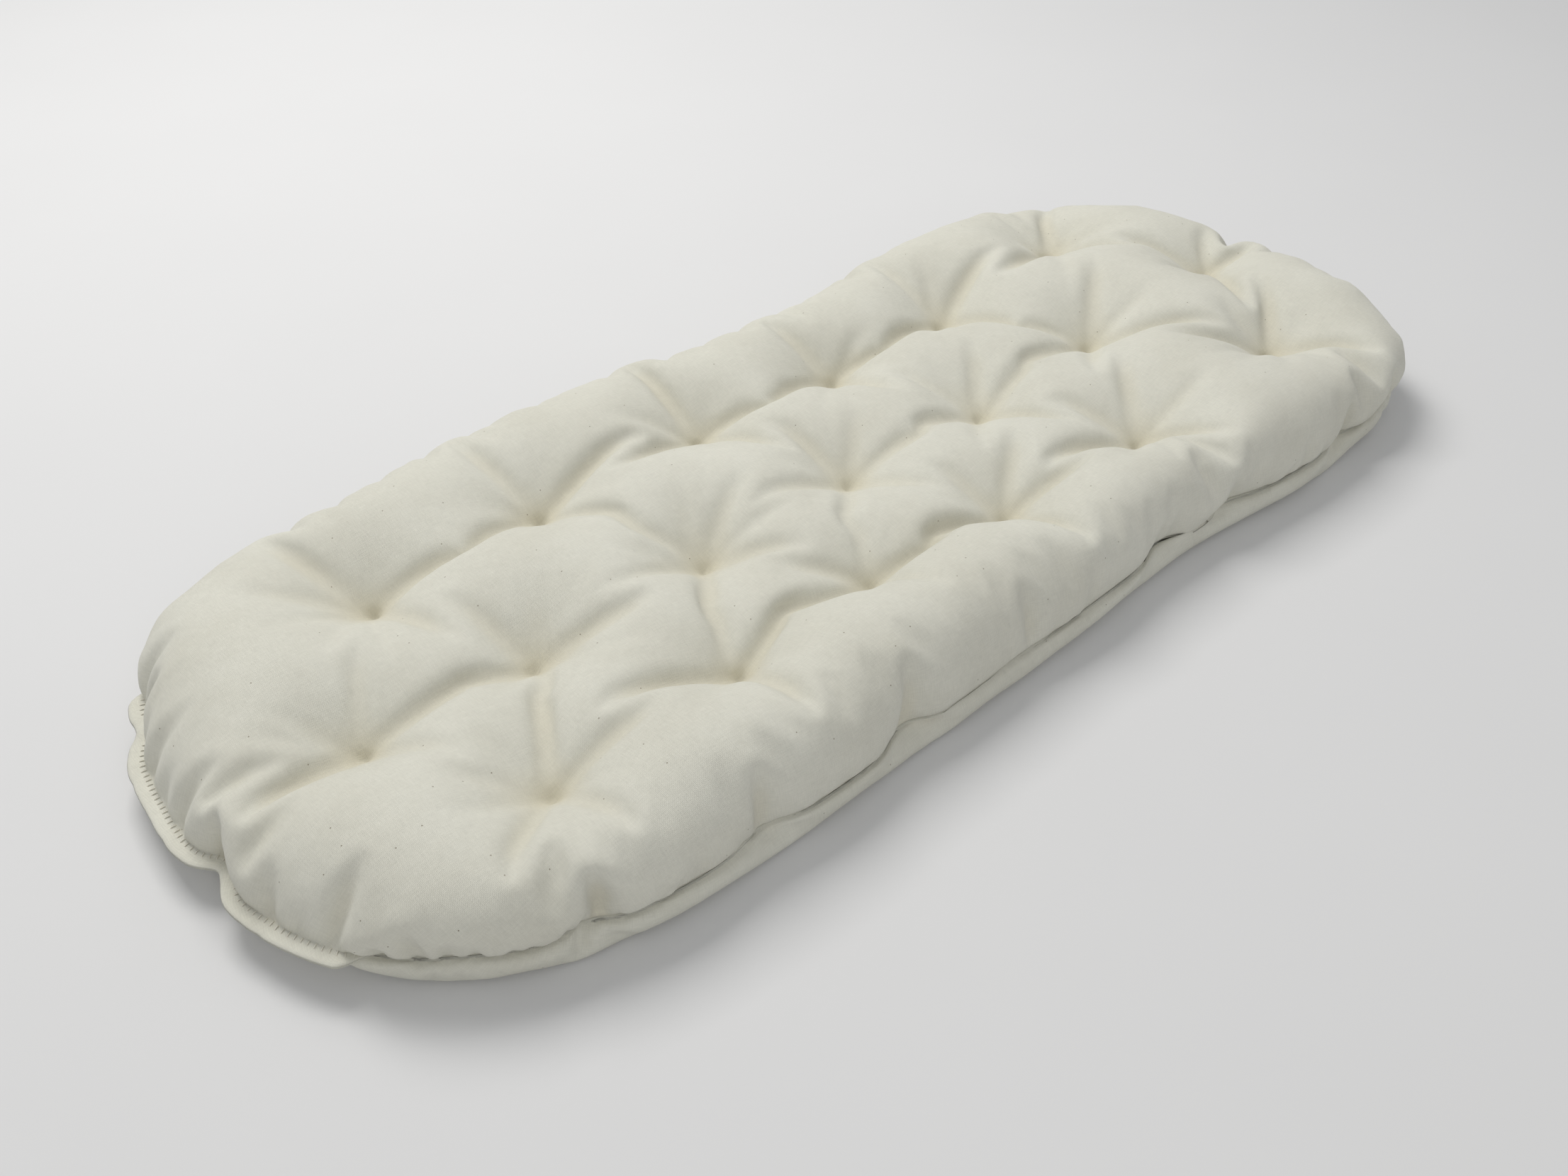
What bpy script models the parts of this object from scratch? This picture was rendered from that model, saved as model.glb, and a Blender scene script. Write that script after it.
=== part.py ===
"""Tufted futon mattress for a Moses basket: two cotton panels, three cotton batts, nineteen tufts.

Metres, +Z up. The origin is the middle of the underside, at floor level. +X runs along the
mattress to the end that is sewn shut, and the filling end with its stitched closing lip is at -X.
"""

import math

import bmesh
import bpy
from mathutils import Vector
from mathutils.geometry import delaunay_2d_cdt

# Driving dimensions of the whole mattress.
THICKNESS = 0.060  # from the floor to the crown of a full pillow
SIDE_HEIGHT = 0.026  # where the rolled side stands out furthest, and how high the tufts sit
SEAM_HEIGHT = 0.015
LIP = 0.007  # how far the closing lip stands out past the side

# The finished outline where the side stands out furthest, about 725 by 318 mm: anticlockwise
# from the far end, on the grid of tufts. It is hand made, so it isn't quite symmetrical.
OUTLINE_MM = (
    (361, 40), (345, 87), (315, 125), (276, 151), (225, 162), (150, 161), (80, 155), (10, 157),
    (-70, 166), (-160, 166), (-230, 158), (-284, 149), (-322, 131), (-344, 104), (-357, 70),
    (-362, 15), (-357, -38), (-342, -79), (-316, -111), (-273, -137), (-215, -149), (-120, -151),
    (0, -147), (120, -143), (215, -148), (292, -139), (333, -117), (353, -78), (364, -10),
)
CENTRE_MM = (-2.3, 7.95)  # the middle of the outline with its lip, which is the origin

# The rolled side is two quarter ellipses that meet where it stands out furthest.
UPPER_ROLL = 0.042
LOWER_ROLL = 0.034
SIDE_TURNS = (32, 8)  # degrees up the upper roll, one ring of points at each
SHOULDER = 0.0115  # where the side ends and the tufted faces begin, inside the outline
INNER_RING = 0.024

# Cloth and sewing.
CLOTH = 0.0010
CLEAR = 0.0003  # left between pieces that touch
SEAM_GAP = 0.0013  # holds the seam thread between the two panels
ALLOWANCE = 0.0075  # cloth turned in behind the seam
BEAD = 0.0004  # how far the seam stands out where there is no lip
LIP_FROM_Y = -0.088  # the lip's span across its end, on the grid of tufts
LIP_TO_Y = 0.120
LIP_FADE = 0.022
THREAD_RADIUS = 0.00035

# Tufts: three staggered rows, tied by hand, so each one wanders a little from the marked grid.
TUFT_PITCH = 0.098
ROW_SPACING = 0.076
TUFT_NUDGES_MM = {
    "back": ((8, -2), (8, 4), (12, 6), (7, -1), (-2, 2), (14, 15)),
    "middle": ((8, -4), (-8, -9), (-5, -4), (-5, -1), (-8, -5), (-7, 1), (19, 9)),
    "front": ((3, -2), (8, 2), (-4, 8), (-18, 0), (-15, -3), (15, 3)),
}
ROW_PLACES = {"back": ROW_SPACING, "middle": 0.0, "front": -ROW_SPACING}
TUFT_FLAT = 0.0045  # radius of the flat spot that a tuft pulls down
TUFT_REACH = 0.0185  # how quickly the pillow rises away from a tuft
TUFT_POWER = 1.3
TUFT_RISE = 0.0205  # how far a tuft lifts the underside
UNDERSIDE_PRESS = 0.0033  # the pillows press this flat against the floor
HOLE_RADIUS = 0.0021
HOLE_SIDES = 6
CONE_RADIUS = 0.013  # of the ring of points round each tuft

# Filling.
BATT_NAMES = ("bottom_batt", "core_batt", "top_batt")

# Tuft twine.
TWINE_RADIUS = 0.0011
BAR_RADIUS = 0.0008
BAR_HALF = 0.0027
TIE_CLEAR = 0.0009  # from the cloth to the bar and the knot, as the cloth slopes away from its hole
KNOT_RADIUS = 0.0026
KNOT_HEIGHT = 0.0032
TAIL_RADIUS = 0.0006
TAIL_REACH = 0.0060
TAIL_DROP = 0.0050  # how far the tails hang below the knot

# Mesh density.
SIDE_POINTS = 52
SPARSE = 0.55  # share of the points that a straight side gets, against its length
STRAIGHT_HALF = 0.165  # the sides are nearly straight this far each side of the middle
GRID = 0.038
CURVE_STEPS = 25
FINE_OUTLINE = 360

CREAM = (0.80, 0.77, 0.68, 1.0)
BATTING_WHITE = (0.86, 0.84, 0.78, 1.0)
TWINE_CREAM = (0.74, 0.70, 0.60, 1.0)


def clear_scene():
    for old in list(bpy.data.objects):
        bpy.data.objects.remove(old, do_unlink=True)


def material(name, colour, roughness):
    made = bpy.data.materials.new(name)
    made.use_nodes = True
    shader = made.node_tree.nodes["Principled BSDF"]
    shader.inputs["Base Color"].default_value = colour
    shader.inputs["Roughness"].default_value = roughness
    shader.inputs["Metallic"].default_value = 0.0
    made.diffuse_color = colour
    return made


def curve_point(a, b, c, d, t):
    """A point of the smooth curve from b to c, whose neighbours are a and d."""
    return 0.5 * (2 * b + (c - a) * t + (2 * a - 5 * b + 4 * c - d) * t**2
                  + (3 * b - a - 3 * c + d) * t**3)


def dense_outline():
    centre = Vector(CENTRE_MM)
    corners = [(Vector(place) - centre) / 1000 for place in OUTLINE_MM]
    count = len(corners)
    return [
        curve_point(corners[k - 1], corners[k], corners[(k + 1) % count], corners[(k + 2) % count],
                    step / CURVE_STEPS)
        for k in range(count)
        for step in range(CURVE_STEPS)
    ]


def spaced_outline(count):
    """That many points along the outline, sparser on its straight sides, from the +X end."""
    dense = dense_outline()
    steps = []
    for a, b in zip(dense, dense[1:] + dense[:1]):
        straight = abs(a.x + b.x) / 2 < STRAIGHT_HALF
        steps.append((b - a).length * (SPARSE if straight else 1))
    spacing = sum(steps) / count
    found, walked = [], 0.0
    for k, step in enumerate(steps):
        while len(found) < count and len(found) * spacing <= walked + step:
            share = (len(found) * spacing - walked) / step
            found.append(dense[k].lerp(dense[(k + 1) % len(dense)], share))
        walked += step
    return found


def outward(points, k):
    """The outline's outward direction at its point k."""
    along = points[(k + 1) % len(points)] - points[k - 1]
    return Vector((along.y, -along.x)).normalized()


OUTLINE = spaced_outline(SIDE_POINTS)
NORMALS = [outward(OUTLINE, k) for k in range(SIDE_POINTS)]
FINE = spaced_outline(FINE_OUTLINE)


def tuft_places():
    places = []
    for row, nudges in TUFT_NUDGES_MM.items():
        first = -TUFT_PITCH * (len(nudges) - 1) / 2
        for k, (dx, dy) in enumerate(nudges):
            x = first + k * TUFT_PITCH + dx / 1000
            places.append(Vector((x, ROW_PLACES[row] + dy / 1000)) - Vector(CENTRE_MM) / 1000)
    return places


TUFTS = tuft_places()


def fullness(place):
    """0 on a tuft's flat spot, rising to nearly 1 between tufts."""
    full = 1.0
    for tuft in TUFTS:
        away = max(0.0, (place - tuft).length - TUFT_FLAT)
        full *= 1.0 - math.exp(-((away / TUFT_REACH) ** TUFT_POWER))
    return full


def inset_of(place):
    return min((place - edge).length for edge in FINE)


def roll(inset, width):
    """How far up its roll the side is, from 0 at the outline to 1 at the roll's width."""
    return math.sqrt(1.0 - (1.0 - min(inset, width) / width) ** 2)


def top_height(inset, full):
    return SIDE_HEIGHT + (THICKNESS - SIDE_HEIGHT) * roll(inset, UPPER_ROLL) * full


def underside_height(inset, full):
    side = SIDE_HEIGHT * (1.0 - roll(inset, LOWER_ROLL))
    return max(0.0, side + TUFT_RISE * (1.0 - full) - UNDERSIDE_PRESS)


def lip_inset(k):
    """The inset of the panels' edge at outline point k, which is outside the outline at the lip."""
    y = OUTLINE[k].y + CENTRE_MM[1] / 1000
    share = 0.0
    if OUTLINE[k].x < 0:
        share = max(0.0, min(1.0, (y - LIP_FROM_Y) / LIP_FADE, (LIP_TO_Y - y) / LIP_FADE))
    share = share * share * (3 - 2 * share)
    return (SEAM_INSET - BEAD) * (1 - share) - LIP * share


def within(place, corners):
    """True inside a loop of points."""
    inside = False
    for a, b in zip(corners, corners[1:] + corners[:1]):
        if (a.y > place.y) != (b.y > place.y):
            crossing = a.x + (place.y - a.y) * (b.x - a.x) / (b.y - a.y)
            inside ^= place.x < crossing
    return inside


def ring_at(inset):
    return [OUTLINE[k] - NORMALS[k] * inset for k in range(SIDE_POINTS)]


def ring_round(tuft, radius):
    turns = [2 * math.pi * k / HOLE_SIDES for k in range(HOLE_SIDES)]
    return [tuft + radius * Vector((math.cos(turn), math.sin(turn))) for turn in turns]


class Layout:
    """The plan points and triangles that every sheet shares, so that none can cut into the next.

    The points are two rings inside the side, two rings round each tuft and a staggered grid.
    """

    def __init__(self):
        self.plan = ring_at(SHOULDER) + ring_at(INNER_RING)
        self.insets = [SHOULDER] * SIDE_POINTS + [INNER_RING] * SIDE_POINTS
        self.holes = []
        for tuft in TUFTS:
            self.holes.append(list(range(len(self.plan), len(self.plan) + HOLE_SIDES)))
            self.plan += ring_round(tuft, HOLE_RADIUS)
        for tuft in TUFTS:
            self.plan += ring_round(tuft, CONE_RADIUS)
        self.plan += self.grid()
        self.insets += [inset_of(place) for place in self.plan[2 * SIDE_POINTS :]]
        self.full = [fullness(place) for place in self.plan]
        self.faces = self.triangles()

    @staticmethod
    def grid():
        points = []
        edge = ring_at(INNER_RING + GRID * 0.55)
        rows = int(max(abs(p.y) for p in OUTLINE) / GRID) + 2
        columns = int(max(abs(p.x) for p in OUTLINE) / GRID) + 2
        for j in range(-rows, rows + 1):
            for i in range(-columns, columns + 1):
                place = Vector(((i + 0.5 * (j % 2)) * GRID, j * GRID * math.sqrt(0.75)))
                clear = all((place - tuft).length > CONE_RADIUS + GRID * 0.4 for tuft in TUFTS)
                if clear and within(place, edge):
                    points.append(place)
        return points

    def triangles(self):
        edge = list(range(SIDE_POINTS))
        lines = [(a, b) for loop in [edge] + self.holes for a, b in zip(loop, loop[1:] + loop[:1])]
        made = delaunay_2d_cdt(self.plan, lines, [], 0, 1e-9)
        came_from = [origin[0] for origin in made[3]]
        corners = [self.plan[k] for k in edge]
        kept = []
        for face in made[2]:
            face = [came_from[k] for k in face]
            a, b, c = (self.plan[k] for k in face)
            centre = (a + b + c) / 3
            twice_area = (b - a).cross(c - a)
            in_hole = any((centre - tuft).length < HOLE_RADIUS * 0.9 for tuft in TUFTS)
            if in_hole or abs(twice_area) < 1e-8 or not within(centre, corners):
                continue
            kept.append(tuple(face) if twice_area > 0 else tuple(face[::-1]))
        return kept

    def sheet(self, height):
        """The plan's points, each raised by a function of its inset and fullness."""
        points = zip(self.plan, self.insets, self.full)
        return [Vector((p.x, p.y, height(inset, full))) for p, inset, full in points]


def side_loop(inset, height):
    """A loop of points round the side, at one inset or at one for each outline point."""
    loop = []
    for k in range(SIDE_POINTS):
        place = OUTLINE[k] - NORMALS[k] * (inset(k) if callable(inset) else inset)
        loop.append(Vector((place.x, place.y, height)))
    return loop


def add_object(name, vertices, faces, paint):
    """A mesh object whose faces point outwards."""
    mesh = bpy.data.meshes.new(name)
    mesh.from_pydata([tuple(v) for v in vertices], [], faces)
    mesh.materials.append(paint)
    made = bpy.data.objects.new(name, mesh)
    bpy.context.scene.collection.objects.link(made)
    turned = bmesh.new()
    turned.from_mesh(mesh)
    bmesh.ops.recalc_face_normals(turned, faces=turned.faces)
    turned.to_mesh(mesh)
    turned.free()
    mesh.shade_smooth()
    mesh.set_sharp_from_angle(angle=math.radians(50))
    return made


def add_slab(name, layout, upper, lower, rims, paint):
    """One closed solid: an upper and a lower sheet on the layout, joined round the holes and edge.

    rims are the loops of points that lead from the upper sheet's edge round to the lower one's.
    """
    count = len(layout.plan)
    vertices = list(upper) + list(lower)
    faces = layout.faces + [tuple(k + count for k in face[::-1]) for face in layout.faces]
    for ring in layout.holes:
        for a, b in zip(ring, ring[1:] + ring[:1]):
            faces.append((b, a, a + count, b + count))
    loops = [list(range(SIDE_POINTS))]
    for rim in rims:
        loops.append(list(range(len(vertices), len(vertices) + SIDE_POINTS)))
        vertices += rim
    loops.append([k + count for k in range(SIDE_POINTS)])
    for first, second in zip(loops, loops[1:]):
        for k in range(SIDE_POINTS):
            n = (k + 1) % SIDE_POINTS
            faces.append((first[k], second[k], second[n], first[n]))
    return add_object(name, vertices, faces, paint)


def roll_spot(turn, width, rise):
    """The inset and height of the side at a turn in degrees, which is negative below its widest."""
    angle = math.radians(turn)
    return width * (1 - math.cos(angle)), SIDE_HEIGHT + rise * math.sin(angle)


def roll_loops(turns, width, rise):
    """Loops of points round the side at those turns: the cloth's outer face, and its inner one."""
    outer, inner = [], []
    for turn in turns:
        inset, height = roll_spot(turn, width, rise)
        angle = math.radians(turn)
        outer.append(side_loop(inset, height))
        inner.append(
            side_loop(inset + CLOTH * math.cos(angle), height - CLOTH * math.sin(angle))
        )
    return outer, inner


SEAM_TURN = -math.degrees(math.asin((SIDE_HEIGHT - SEAM_HEIGHT) / SIDE_HEIGHT))
SEAM_INSET = roll_spot(SEAM_TURN, LOWER_ROLL, SIDE_HEIGHT)[0]


def seam_edge(inward):
    """The loops of a panel's edge: out round the lip, and the allowance turned in behind it.

    inward is 1 for the top panel, which lies above the seam, and -1 for the bottom one.
    """
    near = SEAM_HEIGHT + inward * SEAM_GAP / 2
    far = near + inward * CLOTH
    behind = SEAM_INSET + ALLOWANCE
    corners = ((SEAM_INSET, far), (lip_inset, far), (lip_inset, near), (behind, near), (behind, far))
    return [side_loop(*corner) for corner in corners] + [side_loop(SEAM_INSET + CLOTH, far)]


def top_panel(layout, paint):
    rise = THICKNESS - SIDE_HEIGHT
    outer, inner = roll_loops(SIDE_TURNS, UPPER_ROLL, rise)
    rims = outer + seam_edge(1) + inner[::-1]
    lower = layout.sheet(lambda inset, full: top_height(inset, full) - CLOTH)
    add_slab("top_panel", layout, layout.sheet(top_height), lower, rims, paint)


def bottom_panel(layout, paint):
    upper = layout.sheet(lambda inset, full: underside_height(inset, full) + CLOTH)
    rims = seam_edge(-1)[::-1]
    add_slab("bottom_panel", layout, upper, layout.sheet(underside_height), rims, paint)


def filling(layout, paint):
    """Layers of cotton batting that share the height between the two panels."""
    for k, name in enumerate(BATT_NAMES):
        low_share, high_share = k / len(BATT_NAMES), (k + 1) / len(BATT_NAMES)

        def level(inset, full, share):
            high = top_height(inset, full) - CLOTH - CLEAR
            low = underside_height(inset, full) + CLOTH + CLEAR
            return low + (high - low) * share

        upper = layout.sheet(lambda inset, full: level(inset, full, high_share) - CLEAR / 2)
        lower = layout.sheet(lambda inset, full: level(inset, full, low_share) + CLEAR / 2)
        add_slab(name, layout, upper, lower, [], paint)


def thread(name, points, paint):
    """A sewing thread: a thin tube along a line of points."""
    curve = bpy.data.curves.new(name, "CURVE")
    curve.dimensions = "3D"
    curve.bevel_depth = THREAD_RADIUS
    curve.bevel_resolution = 1
    curve.use_fill_caps = True
    spline = curve.splines.new("POLY")
    spline.points.add(len(points) - 1)
    for spot, place in zip(spline.points, points):
        spot.co = (*place, 1.0)
    curve.materials.append(paint)
    made = bpy.data.objects.new(name, curve)
    bpy.context.scene.collection.objects.link(made)
    return made


def seam_threads(paint):
    """The thread round the sewn seam, and the one that closes the lip at the filling end."""
    lip = [k for k in range(SIDE_POINTS) if lip_inset(k) < -0.6 * LIP]
    sewn = range(lip[-1] + 1, lip[0] + SIDE_POINTS)
    around = side_loop(SEAM_INSET + 0.4 * ALLOWANCE, SEAM_HEIGHT)
    thread("side_seam_thread", [around[k % SIDE_POINTS] for k in sewn], paint)
    above = SEAM_HEIGHT + SEAM_GAP / 2 + CLOTH + CLEAR + THREAD_RADIUS
    closing = side_loop(-0.55 * LIP, above)
    thread("closing_seam_thread", [closing[k] for k in lip], paint)


def cylinder(sheet, start, end, radius, sides):
    """Adds a capped cylinder between two points to a bmesh."""
    axis = end - start
    turn = axis.to_track_quat("Z", "Y").to_matrix().to_4x4()
    turn.translation = (start + end) / 2
    bmesh.ops.create_cone(
        sheet,
        cap_ends=True,
        segments=sides,
        radius1=radius,
        radius2=radius,
        depth=axis.length,
        matrix=turn,
    )


def solid_mesh(name, build):
    sheet = bmesh.new()
    build(sheet)
    mesh = bpy.data.meshes.new(name)
    sheet.to_mesh(mesh)
    sheet.free()
    return mesh


def helper(mesh):
    made = bpy.data.objects.new(mesh.name, mesh)
    made.hide_render = True
    made.display_type = "WIRE"
    bpy.context.scene.collection.objects.link(made)
    return made


def tie_mesh(paint):
    """A tuft's twine: a bar stitch on top, a strand through the mattress, and a knot with tails."""
    bar_height = SIDE_HEIGHT + TIE_CLEAR + BAR_RADIUS
    knot_top = TUFT_RISE - UNDERSIDE_PRESS - TIE_CLEAR
    knot_low = knot_top - KNOT_HEIGHT
    tail_start = Vector((0, 0, knot_low + KNOT_HEIGHT * 0.4))
    tail_end = knot_low - TAIL_DROP
    tails = (Vector((TAIL_REACH, 0.002, tail_end)), Vector((-0.8 * TAIL_REACH, 0.003, tail_end)))
    shapes = [
        (Vector((-BAR_HALF, 0, bar_height)), Vector((BAR_HALF, 0, bar_height)), BAR_RADIUS, 5),
        (Vector((0, 0, knot_low)), Vector((0, 0, knot_top)), KNOT_RADIUS, 6),
    ]
    shapes += [(tail_start, tail, TAIL_RADIUS, 4) for tail in tails]

    strand = solid_mesh(
        "tie",
        lambda sheet: cylinder(
            sheet,
            Vector((0, 0, knot_top - KNOT_HEIGHT / 2)),
            Vector((0, 0, bar_height)),
            TWINE_RADIUS,
            5,
        ),
    )
    joined = helper(strand)
    for k, (start, end, radius, sides) in enumerate(shapes):
        other = helper(
            solid_mesh(f"tie_shape_{k}", lambda sheet: cylinder(sheet, start, end, radius, sides))
        )
        union = joined.modifiers.new(f"join_{k}", "BOOLEAN")
        union.operation = "UNION"
        union.object = other
    bpy.context.view_layer.update()
    shape = joined.evaluated_get(bpy.context.evaluated_depsgraph_get())
    mesh = bpy.data.meshes.new_from_object(shape)
    mesh.name = "tuft_tie"
    mesh.materials.clear()
    mesh.materials.append(paint)
    for used in [o for o in bpy.data.objects if o.hide_render]:
        bpy.data.objects.remove(used, do_unlink=True)
    return mesh


def tuft_ties(paint):
    mesh = tie_mesh(paint)
    for k, tuft in enumerate(TUFTS):
        made = bpy.data.objects.new(f"tuft_tie_{k + 1:02d}", mesh)
        made.location = (tuft.x, tuft.y, 0)
        bpy.context.scene.collection.objects.link(made)


def main():
    clear_scene()
    casing = material("casing_cotton", CREAM, 0.9)
    batting = material("cotton_batting", BATTING_WHITE, 0.95)
    twine = material("cotton_twine", TWINE_CREAM, 0.85)
    sewing = material("sewing_thread", TWINE_CREAM, 0.8)
    layout = Layout()
    top_panel(layout, casing)
    bottom_panel(layout, casing)
    filling(layout, batting)
    seam_threads(sewing)
    tuft_ties(twine)


main()
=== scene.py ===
"""Looks of the tufted futon mattress: relaxed cotton casing, batting, ties, stitches, light, camera.

Lengths are in metres, apart from the tables whose names end in MM.
"""

import math

import bpy
import numpy as np
from mathutils import Matrix, Vector, noise
from mathutils.geometry import delaunay_2d_cdt


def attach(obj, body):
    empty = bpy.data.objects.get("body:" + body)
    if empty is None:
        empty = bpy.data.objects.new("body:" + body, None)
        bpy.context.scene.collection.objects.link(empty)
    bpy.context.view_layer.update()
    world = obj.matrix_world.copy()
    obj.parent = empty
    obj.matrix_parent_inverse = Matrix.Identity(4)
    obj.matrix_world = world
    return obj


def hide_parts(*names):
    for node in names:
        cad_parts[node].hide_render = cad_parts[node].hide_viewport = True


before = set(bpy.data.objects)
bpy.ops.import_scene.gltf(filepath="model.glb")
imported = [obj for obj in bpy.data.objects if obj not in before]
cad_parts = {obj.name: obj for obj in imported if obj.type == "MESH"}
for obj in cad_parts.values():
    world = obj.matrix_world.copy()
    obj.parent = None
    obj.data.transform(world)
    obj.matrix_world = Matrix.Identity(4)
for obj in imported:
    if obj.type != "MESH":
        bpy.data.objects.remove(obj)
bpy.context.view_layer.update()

# The finished outline where the side stands out furthest, as in the CAD model: a point every
# 40 to 120 mm, anticlockwise from the far end. It is hand made, so it isn't quite symmetrical.
OUTLINE_MM = (
    (361, 40), (345, 87), (315, 125), (276, 151), (225, 162), (150, 161), (80, 155), (10, 157),
    (-70, 166), (-160, 166), (-230, 158), (-284, 149), (-322, 131), (-344, 104), (-357, 70),
    (-362, 15), (-357, -38), (-342, -79), (-316, -111), (-273, -137), (-215, -149), (-120, -151),
    (0, -147), (120, -143), (215, -148), (292, -139), (333, -117), (353, -78), (364, -10),
)
OUTLINE_STEPS = 40  # points on the curve from each of those to the next
CENTRE = (-0.0023, 0.00795)  # the middle of the outline with its lip, which is the origin
SEAM_HEIGHT = 0.015
SEAM_INSET = 0.006  # the seam lies this far in from the outline
FRONT_SEAM_INSET = 0.011  # and further in along the -Y side

# The end that was sewn shut last: its folded edges stand out as a flat lip.
LIP = 0.0076
LIP_INSET = 0.002  # its seam is nearer the outline than the rest
LIP_FROM_Y = -0.088  # before the origin is moved to CENTRE, like the places above
LIP_TO_Y = 0.120
LIP_BEFORE_X = -0.25  # the lip is only on this end
LIP_FADE = 0.014  # how far it takes to run out

# Tufts, as in the CAD model.
TUFT_PITCH = 0.098
ROW_SPACING = 0.076
TUFT_NUDGES_MM = {
    "back": ((8, -2), (8, 4), (12, 6), (7, -1), (-2, 2), (14, 15)),
    "middle": ((8, -4), (-8, -9), (-5, -4), (-5, -1), (-8, -5), (-7, 1), (19, 9)),
    "front": ((3, -2), (8, 2), (-4, 8), (-18, 0), (-15, -3), (15, 3)),
}
ROW_PLACES = {"back": ROW_SPACING, "middle": 0.0, "front": -ROW_SPACING}
TUFT_TOP = 0.0255  # heights at which a tie holds the two panels
TUFT_BOTTOM = 0.0165

# The flat cut of the top panel, against its finished plan, tuft marks included.
CUT_ALONG = 1.045
CUT_ACROSS = 1.06
SIDE_ALLOWANCE = 0.021  # more all round, for the side
LIP_ALLOWANCE = 0.014  # but less where the lip is
# The underside is cut smaller, against the top, and draws the seam in under the side.
UNDER_ALONG = 0.93
UNDER_ACROSS = 0.885

# Relaxing the cloth.
SPACING = 0.0046  # between the points of the cloth
EDGE_CLEAR = 0.7  # of a spacing, from the cut edge to the points inside it
STEPS = 230
SWEEPS = 9  # times that every thread is put right in one step
PUSH = 0.0001  # how far the filling pushes the cloth in one step
FIRST_PUSH = 0.35  # the share of it at the start
DRAW_DOWN = 0.35  # the share of the steps in which the ties are drawn down
DAMP = 0.88  # the share of its speed that the cloth keeps
STRETCH = 0.5  # each end's share in putting a thread's length right
BEND = 0.06  # the same for a bend
SEED = 7
UNEVEN = 0.0002  # how uneven the cloth starts
START_RISE = 0.004  # the domes that the panels start as
START_DOME = 0.010
START_REACH = 0.05
START_SHRINK = 0.97
SEAM_EASE = 1.02  # the cloth's length along the seam, against the seam's
SEAM_HOLD = 0.10  # how firmly the seam keeps its place

# Places where the stitching gathers the seam hard, and how far each draws it in.
PINCHES_MM = (
    (-270, -141, 7), (-182, -150, 8), (-97, -150, 12), (92, -142, 11), (147, -143, 8), (243, -145, 6),
    (355, -85, 5), (366, 5, 3), (253, 152, 6), (-114, 162, 4), (-241, 153, 6),
    (-352, 92, 8), (-366, -8, 13), (30, 152, 3), (160, 157, 3), (-30, 160, 3), (-20, -147, 2),
)
PINCH_SPAN = 0.011
PINCH_GATHER = 0.34  # the share of the cloth's length taken up at the middle of one


def curve_from(a, b, c, d, steps):
    """Points of a Catmull-Rom curve from b to c, whose neighbours are a and d."""
    t = np.linspace(0, 1, steps, endpoint=False)[:, None]
    return 0.5 * (2 * b + (c - a) * t + (2 * a - 5 * b + 4 * c - d) * t**2
                  + (3 * b - a - 3 * c + d) * t**3)


def smooth_loop(corners, steps):
    """A closed smooth curve through the corners."""
    corners = np.asarray(corners, float)
    found = []
    for k in range(len(corners)):
        a, b, c, d = (corners[(k + j) % len(corners)] for j in (-1, 0, 1, 2))
        found.append(curve_from(a, b, c, d, steps))
    return np.vstack(found)


def even_loop(points, spacing, partner):
    """Points evenly spaced round a closed loop, and the matching points of a partner loop."""
    steps = np.linalg.norm(np.roll(points, -1, 0) - points, axis=1)
    walked = np.concatenate([[0], np.cumsum(steps)])
    count = int(round(walked[-1] / spacing))
    places = np.arange(count) * walked[-1] / count
    pairs = []
    for loop in (points, partner):
        closed = np.vstack([loop, loop[:1]])
        pairs.append(np.stack([np.interp(places, walked, closed[:, k]) for k in (0, 1)], 1))
    return pairs


def outward_of(loop):
    """Unit vectors that point out of an anticlockwise closed loop."""
    along = np.roll(loop, -1, 0) - np.roll(loop, 1, 0)
    out = np.stack([along[:, 1], -along[:, 0]], 1)
    return out / np.linalg.norm(out, axis=1)[:, None]


def tuft_places():
    """Where the tufts are in the finished plan."""
    places = []
    for row, nudges in TUFT_NUDGES_MM.items():
        first = -TUFT_PITCH * (len(nudges) - 1) / 2
        for k, (dx, dy) in enumerate(nudges):
            places.append((first + k * TUFT_PITCH + dx / 1000, ROW_PLACES[row] + dy / 1000))
    return np.array(places) - CENTRE


OUTLINE = smooth_loop(np.array(OUTLINE_MM) / 1000 - CENTRE, OUTLINE_STEPS)
TUFTS = tuft_places()


def loop_distance(points, loop):
    """Each point's distance to a closed loop's nearest point, and that point's number."""
    best = np.full(len(points), 1e9)
    which = np.zeros(len(points), int)
    for k, corner in enumerate(loop):
        away = np.hypot(points[:, 0] - corner[0], points[:, 1] - corner[1])
        closer = away < best
        best[closer], which[closer] = away[closer], k
    return best, which


def inside_loop(points, loop):
    """Which of the points lie inside a closed loop."""
    inside = np.zeros(len(points), bool)
    for a, b in zip(loop, np.roll(loop, -1, 0)):
        spans = (a[1] > points[:, 1]) != (b[1] > points[:, 1])
        crossing = a[0] + (points[:, 1] - a[1]) * (b[0] - a[0]) / (b[1] - a[1] + 1e-15)
        inside ^= spans & (points[:, 0] < crossing)
    return inside


def lip_share(places):
    """1 along the lip, 0 away from it, and between them over a short stretch."""
    x, y = places[:, 0] + CENTRE[0], places[:, 1] + CENTRE[1]
    share = np.clip((y - LIP_FROM_Y) / LIP_FADE, 0, 1) * np.clip((LIP_TO_Y - y) / LIP_FADE, 0, 1)
    return np.where(x < LIP_BEFORE_X, share * share * (3 - 2 * share), 0.0)


def cut_edge():
    """The flat top panel's edge."""
    more = SIDE_ALLOWANCE + (LIP_ALLOWANCE - SIDE_ALLOWANCE) * lip_share(OUTLINE)
    return OUTLINE * (CUT_ALONG, CUT_ACROSS) + outward_of(OUTLINE) * more[:, None]


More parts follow.
